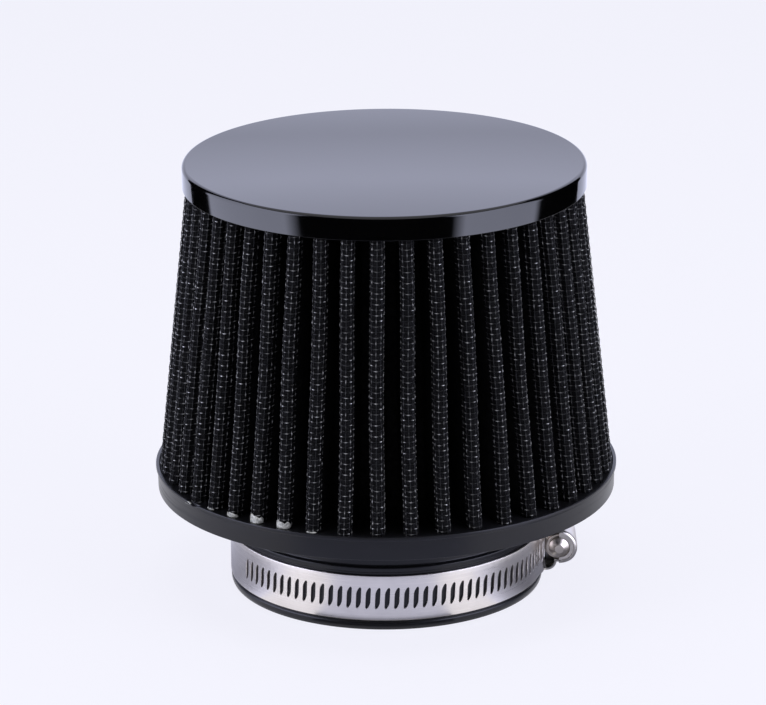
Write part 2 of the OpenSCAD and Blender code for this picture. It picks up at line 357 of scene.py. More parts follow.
def makeBase():
    # turned profile: the neck with a bead above and below the band, the flange, the rim and the pleats' bed
    look = baseLook
    bore, neck, side, rim, rimTop = (look[key] for key in ("bore", "neck", "side", "rim", "rimTop"))
    beadR, beadZ = look["upperBead"]
    line = roundedLine([
        (bore, 0.6, 0.1), (bore + 0.6, 0, 0.15), (neck + 0.25, 0, 0.3), (look["bead"], 0.75, 0.6),
        (look["bead"], 1.9, 0.5), (neck, 2.35, 0.1), (neck, beadZ - 0.95, 0.1), (beadR, beadZ - 0.6, 0.4),
        (beadR, beadZ + 0.6, 0.4), (neck, beadZ + 1.1, 0.5), (neck, look["flange"], 6.5),
        (side, look["flange"], 0.18), (side + 0.1, rimTop - 1.1, 0.3), (rim, rimTop - 0.9, 0.25),
        (rim, rimTop, 0.18), (rim - 0.95, rimTop, 0.3), (rim - 1.15, look["bed"], 0.1),
        (bore, look["bed"], 1.5)])
    points, faces = turned(line, look["turns"])
    # the small dent in the rim: its upper edge sinks by nickDeep at nickAt, in a bell nickWide degrees wide
    angle = np.degrees(np.arctan2(points[:, 0], -points[:, 1]))
    bell = np.exp(-((angle - look["nickAt"]) / look["nickWide"]) ** 2)
    onRim = np.hypot(points[:, 0], points[:, 1]) > rim - look["rimWall"]
    points[:, 2] -= look["nickDeep"] * bell * onRim * np.clip(points[:, 2] - rimTop + 1, 0, 1)
    addPiece("rubberBase", points, faces, rubberMaterial(), "base_rubber", ["rubber_base"], sharpAngle=50)


makeBase()


# Pack: the folded line of the pleats, and what follows it

pack = {
    "pleats": 46, "firstCrest": -2.1, "evenDrift": 1.0, "rightDrift": 2.6, "frontDrift": 0.95,
    "lowRadius": 62.0, "lowAt": 34.0, "highRadius": 53.6, "highAt": 112.3, "depth": 15.0, "crest": 3.7,
    "screen": 0.3, "gap": 0.02, "gauze": 0.8, "foot": 30.4, "head": 116.6, "sideSlack": 0.6,
    "sway": 0.3, "swayLength": 19.0, "swayMiddle": 73.0, "swayReach": 42.0,
    "rows": 24, "arcSteps": 5, "sideSteps": 4, "unrolled": 34.0,
}
foldR = pack["crest"] / 2
gauzeIn = pack["screen"] + pack["gap"]
innerIn = gauzeIn + pack["gauze"] + pack["gap"]
packT = innerIn + pack["screen"]


def crestAt(k):
    # angle of crest k, in even steps with a slow drift: a + e sin a + r (1 - cos a) + f sin 3a
    a = pack["firstCrest"] + k * 360 / pack["pleats"]
    t = np.radians(a)
    drift = pack["evenDrift"] * np.sin(t) + pack["rightDrift"] * (1 - np.cos(t))
    return a + drift + pack["frontDrift"] * np.sin(3 * t)


def crestRadius(z):
    # a straight taper from lowRadius at lowAt to highRadius at highAt
    slope = (pack["lowRadius"] - pack["highRadius"]) / (pack["highAt"] - pack["lowAt"])
    return pack["lowRadius"] - slope * (z - pack["lowAt"])


def scatter(number, seed):
    # a steady value from 0 to 1 for any number: the fraction that a large multiple of its sine leaves
    return np.modf(np.abs(np.sin(number * 12.9898 + seed * 78.233) * 43758.5453))[0]


def handValue(k, seed):
    # the same for pleat k, counted round and round
    return scatter(k % pack["pleats"], seed)


def phase(k, seed):
    # the same as an angle in radians, up to a whole turn
    return 6.3 * handValue(k, seed)


def swayAt(k, z):
    # each pleat waves a little sideways: s sin(z / length + phase), fading towards both ends
    fade = 1 - ((z - pack["swayMiddle"]) / pack["swayReach"]) ** 2
    return pack["sway"] * np.sin(z / pack["swayLength"] + phase(k, 1)) * fade


def foldSurface(k, z, way, inside):
    # Point and outward direction on pleat k at height z. way runs 0 to 1 round the crest, 1 to 2 down
    # the side and 2 to 3 round the valley, its sign is the side, and inside is the depth in the pack.
    side = np.where(way < 0, -1.0, 1.0)
    q = np.abs(way)
    crestAngle = crestAt(k) + swayAt(k, z)
    valleyAngle = (crestAngle + crestAt(k + side) + swayAt(k + side, z)) / 2
    bed = crestRadius(z) - pack["depth"] + packT
    valleyR = (bed + 1) * np.sin(np.radians(np.abs(valleyAngle - crestAngle))) - foldR
    crestMid = around(crestAngle, crestRadius(z) - foldR)
    valleyMid = around(valleyAngle, bed + valleyR)
    crestOut = around(crestAngle + np.clip(q, 0, 1) * 90 * side, 1.0)
    valleyOut = around(valleyAngle + (1 - np.clip(q - 2, 0, 1)) * 90 * side, 1.0)
    sideways = around(crestAngle + 90 * side, 1.0)
    top = crestMid + sideways * foldR
    foot = valleyMid - around(valleyAngle + 90 * side, 1.0) * valleyR[..., None]
    line = foot - top
    sideOut = np.stack([line[..., 1], -line[..., 0]], -1) * side[..., None]
    sideOut = sideOut / np.linalg.norm(sideOut, axis=-1, keepdims=True)
    sideOut = np.where((sideOut * sideways).sum(-1, keepdims=True) < 0, -sideOut, sideOut)
    onCrest = (q <= 1)[..., None]
    onValley = (q >= 2)[..., None]
    point = np.where(onCrest, crestMid + crestOut * foldR, np.where(
        onValley, valleyMid - valleyOut * valleyR[..., None], top + line * np.clip(q - 1, 0, 1)[..., None]))
    out = np.where(onCrest, crestOut, np.where(onValley, valleyOut, sideOut))
    point = point - out * np.broadcast_to(inside, q.shape)[..., None]
    height = np.broadcast_to(z, q.shape)[..., None]
    return np.concatenate([point, height], -1), np.concatenate([out, 0 * height], -1)


def wayAt(distance):
    # distance in millimetres from the crest's middle, as the way that foldSurface takes
    sideLength = pack["depth"] - packT - 2 * foldR - pack["sideSlack"]
    d = np.abs(distance)
    arc = foldR * np.pi / 2
    return np.sign(distance) * np.where(d < arc, d / arc, 1 + np.clip((d - arc) / sideLength, 0, 1))


def foldedSheet(inOut, inIn):
    # closed folded layer between two depths: outer skin, inner skin and the two rims
    rows, arcSteps, sideSteps = pack["rows"], pack["arcSteps"], pack["sideSteps"]
    quarter = np.concatenate([np.linspace(0, 1, arcSteps + 1)[:-1], np.linspace(1, 2, sideSteps + 1)[:-1],
                              np.linspace(2, 3, arcSteps + 1)])
    ways = np.concatenate([-quarter[:0:-1], quarter[:-1]])
    k = np.arange(pack["pleats"])[None, :, None]
    z = np.linspace(pack["foot"], pack["head"], rows)[:, None, None]
    k, z, way = np.broadcast_arrays(k, z, ways[None, None, :])
    skins = [foldSurface(k, z, way, inside)[0].reshape(rows, -1, 3) for inside in (inOut, inIn)]
    loop = np.concatenate([skins[0], skins[1][::-1]], 0)
    faces = gridQuads(2 * rows, loop.shape[1], wrapRows=True, wrapCols=True)
    u = (k + (way + 3) / 6).reshape(rows, -1) * pack["unrolled"]
    flat = np.stack([u, z.reshape(rows, -1)], -1)
    uv = np.concatenate([flat, flat[::-1]], 0)
    return loop.reshape(-1, 3), faces, uv.reshape(-1, 2)


wireLook = {
    "across": 1.45, "along": 1.45, "radius": 0.14, "wave": 0.12, "lengthCount": 6, "wander": 0.1,
    "wanderLength": 7.0, "wanderTurn": 0.6, "bottom": 32.6, "top": 113.6,
    # the pale colour on the next line and the share, power settings after it paint highlights on the knuckles
    # (painted highlight)
    "colour": (0.006, 0.006, 0.0072), "knuckleGlint": (0.9, 0.9, 0.95),
    "lengthGlint": (0.6, 2.5), "crossGlint": (1.0, 1.3), "glintPower": 1.8, "drawnWidth": 0.19,
}


def wireTubes(path, out, radius, over, knuckleGlint):
    # three-sided tubes along paths: each point of the path gets a ring square to the path;
    # over and the glint share go into the UV map, as how far the wire stands out there and how bright the
    # painted highlight on it is
    ahead = np.gradient(path, axis=-2)
    ahead /= np.linalg.norm(ahead, axis=-1, keepdims=True)
    sideways = np.cross(ahead, out)
    sideways /= np.linalg.norm(sideways, axis=-1, keepdims=True)
    lift = np.cross(sideways, ahead)
    angle = np.radians([90.0, 210.0, 330.0])
    ring = lift[..., None, :] * np.sin(angle)[:, None] + sideways[..., None, :] * np.cos(angle)[:, None]
    points = path[..., None, :] + radius * ring
    steps = path.shape[-2]
    tubes = points.size // (steps * 9)
    faces = gridQuads(steps, 3, wrapCols=True)
    faces = (np.arange(tubes)[:, None, None] * steps * 3 + faces[None]).reshape(-1, 4)
    uv = np.stack(np.broadcast_arrays(over[..., None], knuckleGlint[..., None], np.zeros(3))[:2], -1)
    return points.reshape(-1, 3), faces, uv.reshape(-1, 2)


def wireMaterial():
    # dark coating, with a painted highlight, pale and partly metallic, where the UV map says that a wire
    # passes over another
    material, tree, shader, coords = newMaterial("blackScreenWire")
    shader.inputs["Specular IOR Level"].default_value = 0.28
    body = useGroup(tree, grain, coords, (-900, 200), Coarse=900.0, Fine=5000.0)
    over, knuckleGlint = surfaceUv(tree, (-1100, -200))
    # the next lines paint a highlight on each knuckle where the wire stands out: pale colour and some
    # metallic (painted highlight)
    narrow = calc(tree, (-750, -200), "POWER", over, wireLook["glintPower"])
    paintedGlint = calc(tree, (-600, -200), "MULTIPLY", narrow, knuckleGlint)
    colour = wireLook["colour"]
    coating = mixColour(tree, (-500, 300), body["Patches"], colour, tinted(colour, 0.6))
    tone = mixColour(tree, (-300, 300), paintedGlint, coating, wireLook["knuckleGlint"])
    gloss = mixValue(tree, (-300, 0), body["Patches"], 0.25, 0.5)
    feed(shader.inputs["Metallic"], mixValue(tree, (-300, -200), paintedGlint, 0.0, 0.6))
    finish(tree, shader, tone, gloss, body["Height"], 0.3, 0.02)
    return material


def addWires(name, material, k, z, distance, wave, knuckleGlint):
    # tubes on the outer fold, at a distance from the crest's middle, their height in and out a wave
    path, out = foldSurface(k, z, wayAt(distance), wireLook["radius"] - wave)
    over = np.clip(wave / wireLook["wave"], 0, 1)
    points, faces, uv = wireTubes(path, out, wireLook["radius"], over, knuckleGlint)
    addPiece(name, points, faces, material, "screen_wire", ["outer_screen"], uv=uv, ends=True)


def makeWires():
    # Arrays run over pleat, wire and point. The wave is w cos(pi cell), and a number of its own sets
    # how bright the painted highlight on each knuckle is: share scatter(knuckle)^power.
    look = wireLook
    across, along, wander = look["across"], look["along"], look["wander"]
    material = wireMaterial()
    pleat = np.arange(pack["pleats"], dtype=float)[:, None, None]
    shift = handValue(pleat, 2) - 0.5
    rowShift = handValue(pleat, 3)
    # wires along the pleat, waving over and under the ones across it
    i = (np.arange(look["lengthCount"]) - (look["lengthCount"] - 1) / 2)[None, :, None]
    half = np.arange(2 * int(look["bottom"] / along), int(2 * look["top"] / along) + 1) / 2
    z = (half - rowShift) * along
    distance = (i + shift) * across + wander * np.sin(z / look["wanderLength"] + phase(pleat, 4) + i)
    k, z, distance = np.broadcast_arrays(pleat, z, distance)
    wave = look["wave"] * np.cos(np.pi * (z / along + rowShift + i - 0.5))
    knuckle = np.round(z / along) + 17 * i + 3 * k
    share, power = look["lengthGlint"]
    addWires("screenLengthWires", material, k, z, distance, wave, share * scatter(knuckle, 6) ** power)
    # wires across the pleat, one for each row
    rows = np.arange(int((look["top"] - look["bottom"]) / along))[None, :, None]
    distance = (np.arange(-look["lengthCount"], look["lengthCount"] + 1) / 2 + shift) * across
    z = look["bottom"] + (rows + 0.5 - (rowShift % 1)) * along
    z = z + wander * np.sin(distance * look["wanderTurn"] + phase(pleat, 5) + rows / 3)
    k, z, distance = np.broadcast_arrays(pleat, z, distance)
    cell = distance / across - shift - 0.5
    wave = look["wave"] * np.cos(np.pi * (cell + rows))
    knuckle = np.round(cell) + 29 * rows + 7 * k
    share, power = look["crossGlint"]
    addWires("screenCrossWires", material, k, z, distance, wave, share * scatter(knuckle, 7) ** power)


makeWires()

gauzeLook = {"colour": (0.0035, 0.0035, 0.004), "fibre": (0.012, 0.012, 0.014), "thread": (0.45, 0.42, 0.16)}


def wovenPattern(tree, place, across, along, width):
    # mask of a woven mesh drawn on the sheet's own UV map: thin lines at the wire spacings
    left, top = place
    lines = []
    for source, step in zip(surfaceUv(tree, place), (across, along)):
        cell = calc(tree, (left + 360, top), "PINGPONG", source, step / 2)
        limits = {"From Min": 0.4 * width, "From Max": width, "To Min": 1.0, "To Max": 0.0}
        line = addNode(tree, "ShaderNodeMapRange", (left + 540, top), interpolation_type="SMOOTHSTEP",
                       Value=cell, **limits)
        lines.append(line.outputs["Result"])
    return calc(tree, (left + 720, top), "MAXIMUM", *lines)


def gauzeMaterial():
    # dark oiled cloth, its threads a little paler than what is between them
    material, tree, shader, coords = newMaterial("oiledGauze")
    shader.inputs["Specular IOR Level"].default_value = 0.1
    fibres = useGroup(tree, grain, coords, (-900, 300), Coarse=700.0, Fine=4200.0)
    threads = wovenPattern(tree, (-1400, -300), *gauzeLook["thread"])
    cloth = mixColour(tree, (-400, 300), fibres["Patches"], gauzeLook["colour"], gauzeLook["fibre"])
    tone = mixColour(tree, (-200, 300), threads, tinted(gauzeLook["colour"], 0.55), cloth)
    height = calc(tree, (-500, -500), "ADD", fibres["Height"], threads)
    finish(tree, shader, tone, 0.9, height, 0.6, 0.1)
    return material


def innerScreenMaterial():
    # drawn wires at the outer screen's spacing, with dark gauze between them
    material, tree, shader, coords = newMaterial("innerScreen")
    wires = wovenPattern(tree, (-1400, -300), wireLook["across"], wireLook["along"], wireLook["drawnWidth"])
    body = useGroup(tree, grain, coords, (-900, 300), Coarse=700.0, Fine=4200.0)
    colour = wireLook["colour"]
    coating = mixColour(tree, (-500, 300), body["Patches"], colour, tinted(colour, 1.6))
    tone = mixColour(tree, (-200, 300), wires, gauzeLook["colour"], coating)
    feed(shader.inputs["Metallic"], mixValue(tree, (-200, -200), wires, 0.0, 0.4))
    finish(tree, shader, tone, mixValue(tree, (-200, 0), wires, 0.9, 0.38), wires, 0.8, 0.2)
    return material


points, faces, uv = foldedSheet(gauzeIn, gauzeIn + pack["gauze"])
addPiece("gauzeFolds", points, faces, gauzeMaterial(), "gauze", ["filter_gauze"], uv=uv)
points, faces, uv = foldedSheet(innerIn, packT)
addPiece("innerScreenFolds", points, faces, innerScreenMaterial(), "screen_wire", ["inner_screen"], uv=uv)


# Clamp, and the potting under the cap

steelLook = {  # colour, roughness, how the brush strokes are stretched, strength of their bump
    "brushedBand": ((0.84, 0.79, 0.745), 0.30, (40.0, 40.0, 5000.0), 0.12),
    "stampedHousing": ((0.76, 0.715, 0.66), 0.34, (300.0, 300.0, 300.0), 0.1),
    "turnedScrew": ((0.66, 0.60, 0.53), 0.36, (400.0, 3000.0, 400.0), 0.1),
    # the last steel is near-black, for the cores inside the hooks: painted shade for their hollows
    "paintedShadeSteel": ((0.03, 0.028, 0.024), 0.45, (300.0, 300.0, 300.0), 0.1),
}


def steelMaterial(name):
    # steel with brush strokes, a little brighter along them
    colour, roughness, stretch, depth = steelLook[name]
    material, tree, shader, coords = newMaterial(name)
    shader.inputs["Metallic"].default_value = 1.0
    brushed = useGroup(tree, strokes, coords, (-900, 200), Stretch=stretch, Threshold=0.55)
    body = useGroup(tree, grain, coords, (-900, -100), Coarse=120.0, Fine=2400.0)
    plain = mixColour(tree, (-500, 300), body["Patches"], colour, tinted(colour, 0.92))
    tone = mixColour(tree, (-300, 300), brushed["Mask"], plain, tinted(colour, 1.06))
    gloss = mixValue(tree, (-300, 0), brushed["Height"], roughness - 0.08, roughness + 0.08)
    finish(tree, shader, tone, gloss, brushed["Height"], depth, 0.02)
    return material


pottingColours = ((0.03, 0.027, 0.022), (0.045, 0.04, 0.032))


def pottingMaterial():
    material, tree, shader, coords = newMaterial("pouredPotting")
    body = useGroup(tree, grain, coords, (-900, 200), Coarse=90.0, Fine=1500.0)
    tone = mixColour(tree, (-300, 300), body["Patches"], *pottingColours)
    gloss = mixValue(tree, (-300, 0), body["Patches"], 0.3, 0.5)
    finish(tree, shader, tone, gloss, body["Height"], 0.3, 0.2)
    return material


def dress(nodeName, material):
    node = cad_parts[nodeName]
    node.data.materials.clear()
    node.data.materials.append(material)


dress("clamp_screw", steelMaterial("turnedScrew"))
dress("cap_potting", pottingMaterial())

bandLook = {
    "radius": 42.5, "tailRadius": 43.2, "sheet": 0.6, "low": 2.8, "width": 12.7, "edge": 0.16,
    "from": 83.5, "climb": (435.0, 441.0), "to": 507.3, "cornerRadius": 3.0, "plainRows": (151, 21),
    "slotStep": 3.44, "slotShift": 0.1, "firstSlot": -18, "lastSlot": 40, "slotHigh": 6.3, "slotLean": 0.05,
    "slotBevel": 0.05, "sideSteps": 8,
    # corners of a slot's upper end, as x and the distance below its top
    "slotEnd": ((0.65, 0.5), (0.35, 0.0), (-0.15, 0.5), (-0.55, 1.4), (-0.65, 2.0)),
}


def smoothStep(x):
    # 3x^2 - 2x^3 from 0 to 1
    x = np.clip(x, 0, 1)
    return x * x * (3 - 2 * x)


def bandPoint(angle, z, outward):
    # on the band: radius + smooth climb + outward at an angle; z is the share of the half width
    look = bandLook
    start, end = look["climb"]
    climb = (look["tailRadius"] - look["radius"]) * smoothStep((angle - start) / (end - start))
    corner = look["cornerRadius"]
    left = np.radians(look["to"] - angle) * look["tailRadius"]
    bite = corner - np.clip(left, 0, corner)
    half = look["width"] / 2 - corner + np.sqrt(np.clip(corner ** 2 - bite ** 2, 0, None))
    height = look["low"] + look["width"] / 2 + z * half
    return np.concatenate([around(angle, look["radius"] + climb + outward), height[..., None]], -1)


def slotOutline(count):
    # (x + lean z, z) at even steps round a slot, its lower end the upper one turned half round
    end = np.array(bandLook["slotEnd"])
    end[:, 1] = bandLook["slotHigh"] / 2 - end[:, 1]
    loop = np.concatenate([-end[-1:], end, -end])
    steps = np.concatenate([[0], np.cumsum(np.linalg.norm(np.diff(loop, axis=0), axis=1))])
    at = np.linspace(0, steps[-1], count, endpoint=False)
    outline = np.stack([np.interp(at, steps, loop[:, i]) for i in (0, 1)], -1)
    outline[:, 0] += bandLook["slotLean"] * outline[:, 1]
    return outline


def cellFrame(steps):
    # the rectangle's rim as shares from -1 to 1, starting at the lower right corner and going up
    up = np.linspace(-1, 1, steps, endpoint=False)
    one = np.ones(steps)
    sides = ((one, up), (-up, one), (-one, -up), (up, -one))
    return np.concatenate([np.stack(side, -1) for side in sides])


def makeBand(material):
    # the slotted stretch is one cell after another, each a grid that runs from its rim over the slot's wall
    look = bandLook
    steps, sheet, bevel = look["sideSteps"], look["sheet"], look["slotBevel"]
    rim = cellFrame(steps)
    slot = slotOutline(4 * steps)
    slotSize = np.linalg.norm(slot, axis=1, keepdims=True)
    halfWidth = look["width"] / 2
    halfStep = look["slotStep"] / 2
    flat = 1 - look["edge"] / halfWidth
    middles = 360 + look["slotShift"] + look["slotStep"] * np.arange(look["firstSlot"], look["lastSlot"] + 1)
    perMm = np.degrees(1 / look["tailRadius"])
    # rings of a cell: share of the way from its rim to the slot, how much wider than the slot, depth
    cellRings = ((0.0, 0.0, 0.0), (0.45, 0.0, 0.0), (1.0, bevel, 0.0), (1.0, 0.0, bevel),
                 (1.0, 0.0, sheet - bevel), (1.0, bevel, sheet), (0.45, 0.0, sheet), (0.0, 0.0, sheet))
    rings = []
    for share, wider, deep in cellRings:
        hole = slot * (1 + wider / slotSize)
        angle = middles[:, None] + (1 - share) * rim[None, :, 0] * halfStep + share * hole[None, :, 0] * perMm
        z = (1 - share) * rim[None, :, 1] * flat + share * hole[None, :, 1] / halfWidth
        rings.append(bandPoint(angle, np.broadcast_to(z, angle.shape), sheet - deep))
    cells = np.stack(rings, 1)
    count, rows, cols = cells.shape[:3]
    faces = gridQuads(rows, cols, wrapCols=True)
    faces = (np.arange(count)[:, None, None] * rows * cols + faces[None]).reshape(-1, 4)
    allPoints, allFaces = [cells.reshape(-1, 3)], [faces]

    def addSheet(angles, shares, outward, turn):
        # a sheet of the band with a row at each angle; turn -1 makes it face inwards
        grid = bandPoint(*np.broadcast_arrays(angles[:, None], shares[None, :]), outward)
        allFaces.append(gridQuads(*grid.shape[:2])[:, ::turn] + sum(map(len, allPoints)))
        allPoints.append(grid.reshape(-1, 3))

    # plain stretches before and after the slots
    before, after = look["plainRows"]
    plain = [np.linspace(look["from"], middles[0] - halfStep, before),
             np.linspace(middles[-1] + halfStep, look["to"], after)]
    shares = np.linspace(-1, 1, steps + 1)
    for angles in plain:
        addSheet(angles, shares * flat, sheet, -1)
        addSheet(angles, shares * flat, 0.0, 1)
    # the two long edges, rounded from the outer face to the inner one
    slotted = (middles[:, None] + halfStep * shares[None, :-1]).ravel()
    along = np.concatenate([plain[0][:-1], slotted, plain[1]])
    fall = look["edge"] * np.array([0, 0.3, 0.7, 1.0]) ** 2
    outward = np.concatenate([sheet - fall, fall[::-1]])[None, :]
    quarter = np.sin(np.linspace(0, np.pi / 2, 4))
    rise = flat + (1 - flat) * np.concatenate([quarter, quarter[::-1]])
    for side in (1, -1):
        addSheet(along, side * rise, outward, side)
    addPiece("clampStrap", np.concatenate(allPoints), np.concatenate(allFaces), material, "band_steel",
             ["clamp_band"], sharpAngle=40, merge=True, ends=True)


housingLook = {
    "x": 47.5, "z": 9.15, "archOut": 5.05, "archIn": 4.2, "front": -4.6, "back": 6.2, "journal": 3.05,
    "wall": 0.8, "flatten": 0.08, "legTurn": 17, "lipFront": -6.2, "lipIn": 2.95, "lipGroove": (4.05, 3.95),
    "hookIn": 42.62, "hookOut": 46.9, "hookHigh": 7.0, "hookSheet": 0.5, "hookCorner": 2.7, "hookEnd": 4.1,
    # how the hooks' ends are rounded: way along the screw from the end, and inset
    "hookFront": ((0.0, 0.12), (0.05, 0.03), (0.15, 0.0)), "hookBack": ((-0.15, 0.0), (0.0, 0.1)),
    "coreIn": 43.9, "coreBelow": 0.08, "coreInside": 0.05, "coreAbove": 0.25, "coreShort": 0.5,
}


def aboutScrew(profile, fromAngle, toAngle, steps):
    # a closed (radius, y) line turned part of the way round the screw's axis: r (1 - flatten smooth),
    # so that it gets a little flatter from 30 to 90 degrees below the side
    look = housingLook
    angle = np.radians(np.linspace(fromAngle, toAngle, steps))[:, None]
    radius = profile[None, :, 0] * (1 - look["flatten"] * smoothStep((-np.degrees(angle) - 30) / 60))
    x = look["x"] + radius * np.cos(angle)
    z = look["z"] + radius * np.sin(angle)
    y = np.broadcast_to(profile[None, :, 1], x.shape)
    return np.stack([x, y, z], -1).reshape(-1, 3), gridQuads(steps, len(profile), wrapCols=True)


def alongScrew(outline, fromY, toY):
    # a closed (x, z) line carried along the screw, drawn in towards its middle at both ends
    stations = [(fromY + way, inset) for way, inset in housingLook["hookFront"]]
    stations += [(toY + way, inset) for way, inset in housingLook["hookBack"]]
    inwards = outline.mean(0) - outline
    inwards /= np.linalg.norm(inwards, axis=1, keepdims=True)
    rings = []
    for y, inset in stations:
        ring = outline + inwards * inset
        rings.append(np.stack([ring[:, 0], np.full(len(ring), y), ring[:, 1]], -1))
    return np.concatenate(rings), gridQuads(len(rings), len(outline), wrapCols=True)


def makeHousing(material, paintedShadeMaterial):
    # the arch over the screw with its rolled-in lip, the legs under it, and the hooks with their dark cores;
    # the cores are painted shade for the hollows inside the hooks
    look = housingLook
    archOut, archIn, journal, lipIn = look["archOut"], look["archIn"], look["journal"], look["lipIn"]
    lip, front, back, wall = look["lipFront"], look["front"], look["back"], look["wall"]
    grooveOut, grooveIn = look["lipGroove"]

    def add(name, shape, finish=material):
        addPiece(name, *shape, finish, "housing_steel", ["clamp_housing"], sharpAngle=50, ends=True)

    shell = roundedLine([
        (archOut, back, 0.25), (archOut, lip, 1.0), (grooveOut, lip + 0.02, 0.4), (grooveIn, lip + 0.28, 0.2),
        (lipIn, lip + 0.32, 0.12), (lipIn, lip + 1.1, 0.1), (archIn, lip + 1.3, 0.2),
        (archIn, back - wall, 0.1), (journal, back - wall, 0.1), (journal, back, 0.1)], 8)
    legs = roundedLine([(archOut, back, 0.2), (archOut, front, 0.2), (archIn, front, 0.2),
                        (archIn, back, 0.2)], 5)
    add("housingShell", aboutScrew(shell, -90, 90, 61))
    add("housingLegTop", aboutScrew(legs, 90, 90 + look["legTurn"], 9))
    add("housingLegBottom", aboutScrew(legs, -90 - look["legTurn"], -90, 9))
    sheet, corner, high, end = look["hookSheet"], look["hookCorner"], look["hookHigh"], look["hookEnd"]
    hookIn, hookOut, inner = look["hookIn"], look["hookOut"], look["hookOut"] - sheet
    coreIn, coreOut = look["coreIn"], inner - look["coreInside"]
    coreTop, coreEnd = high - sheet - look["coreBelow"], end + look["coreAbove"]
    coreFront = front + look["coreShort"]
    for name, side in (("housingHookTop", 1), ("housingHookBottom", -1)):
        hook = roundedLine([
            (hookIn, high, 0.1), (hookOut, high, corner), (hookOut, end, 0.1), (inner, end, 0.1),
            (inner, high - sheet, corner - sheet), (hookIn, high - sheet, 0.1)], 8)
        core = roundedLine([
            (coreIn, coreTop, 0.3), (coreOut, coreTop, corner - sheet), (coreOut, coreEnd, 0.1),
            (coreIn, coreEnd, 0.3)], 6)
        for outline in (hook, core):
            outline[:, 1] = look["z"] + side * outline[:, 1]
        add(name, alongScrew(hook, front, -front))
        # a near-black core where the hook's hollow shows only shade (painted shade)
        add(name + "Core", alongScrew(core, coreFront, -coreFront), paintedShadeMaterial)


makeBand(steelMaterial("brushedBand"))
makeHousing(steelMaterial("stampedHousing"), steelMaterial("paintedShadeSteel"))


# Pale glue left at the feet of some pleats, and a pale patch on the rim that is a painted highlight

glueLook = {
    "pleats": (-6, -5, -4, -3, -2), "high": (0.5, 1.3, 2.5, 2.3, 0.4), "reach": (0.5, 0.8, 1.0, 0.95, 0.5),
    "low": 33.9, "thick": 0.1, "proud": 0.06, "sunk": 0.1, "colour": (0.85, 0.86, 0.88),
}
# a pale patch at the rim's dent, in the glue's colour: a painted highlight
nickHighlightLook = {"angles": (-58.6, -56.0), "low": 33.1, "high": 0.75, "radii": (63.19, 62.7), "blunt": 0.98}


# pale glue; the same pale material also paints the highlight at the rim's dent
def glueAndHighlightMaterial():
    material, tree, shader, coords = newMaterial("paleGlueAndHighlight")
    body = useGroup(tree, grain, coords, (-900, 200), Coarse=900.0, Fine=3000.0)
    colour = glueLook["colour"]
    tone = mixColour(tree, (-300, 300), body["Patches"], tinted(colour, 0.25), colour)
    gloss = mixValue(tree, (-300, 0), body["Patches"], 0.5, 0.3)
    finish(tree, shader, tone, gloss, body["Height"], 0.6, 0.1)
    return material


def makeGlueAndHighlight():
    material = glueAndHighlightMaterial()

    def add(name, skins, slotName):
        # a closed patch between two grids of points
        loop = np.concatenate([skins[0], skins[1][::-1]], 0)
        addPiece(name, loop.reshape(-1, 3), gridQuads(len(loop), loop.shape[1], wrapRows=True), material,
                 slotName, [], ends=True)

    # thin patches on the crests, their upper edge two waves that drop towards both sides
    share = np.linspace(-1, 1, 25)
    rows = np.linspace(0, 1, 7)[:, None]
    depths = (-glueLook["proud"] - glueLook["thick"], glueLook["sunk"])
    for number, (k, high, reach) in enumerate(zip(glueLook["pleats"], glueLook["high"], glueLook["reach"])):
        ragged = 0.8 + 0.13 * np.sin(5.1 * share + k) + 0.07 * np.sin(11.7 * share + 2 * k)
        top = high * ragged * (1 - 0.6 * share ** 4)
        z = glueLook["low"] + rows * top[None, :]
        way = np.broadcast_to(share[None, :] * reach, z.shape)
        skins = [foldSurface(np.full(z.shape, k), z, way, np.full(z.shape, depth))[0] for depth in depths]
        add("glueMark" + str(number), skins, "screen_wire")
    # a thin pale patch beside the dent in the rim, a painted highlight: half an ellipse between two radii
    angle = np.linspace(*nickHighlightLook["angles"], 13)[None, :]
    up = np.linspace(0, 1, 5)[:, None]
    bow = np.sqrt(1 - np.linspace(-nickHighlightLook["blunt"], nickHighlightLook["blunt"], 13) ** 2)[None, :]
    z = nickHighlightLook["low"] + up * nickHighlightLook["high"] * bow
    skins = [np.concatenate([around(angle + 0 * up, r), z[..., None]], -1) for r in nickHighlightLook["radii"]]
    add("rimNickHighlight", skins, "base_rubber")


makeGlueAndHighlight()


# Floor, background, cards and lamps

studio = {
    "pale": (0.913, 0.913, 1.0), "floorGlow": 0.87, "floorLight": 1.035, "floorColour": (0.84, 0.84, 0.92),
    "shade": (0.95, 0.97, 1.0), "shadeLight": 0.22, "cardTint": (0.92, 0.955, 1.22),
}


def seenBy(tree, place, *rays):
    # 1 for the kinds of ray that are named and 0 for the others
    path = addNode(tree, "ShaderNodeLightPath", place)
    seen = path.outputs[rays[0]]
    for ray in rays[1:]:
        seen = calc(tree, (place[0] + 200, place[1]), "MAXIMUM", seen, path.outputs[ray])
    return seen


def mixSurface(tree, share, first, second, output):
    # the first shader where the share is 0 and the second where it is 1
    mix = addNode(tree, "ShaderNodeMixShader", (400, 0))
    for socket, value in zip(mix.inputs, (share, first.outputs[0], second.outputs[0])):
        feed(socket, value)
    feed(tree.nodes[output].inputs["Surface"], mix.outputs[0])


def makeWorld():
    # camera, glossy and transmission rays see the pale background, the others a weaker light
    world = bpy.data.worlds.new("paleRoom")
    bpy.context.scene.world = world
    world.use_nodes = True
    tree = world.node_tree
    shade = tree.nodes["Background"]
    shade.inputs["Color"].default_value = (*studio["shade"], 1)
    shade.inputs["Strength"].default_value = studio["shadeLight"]
    pale = addNode(tree, "ShaderNodeBackground", (0, -200), Color=(*studio["pale"], 1))
    seen = seenBy(tree, (-700, 200), "Is Camera Ray", "Is Glossy Ray", "Is Transmission Ray")
    mixSurface(tree, seen, shade, pale, "World Output")


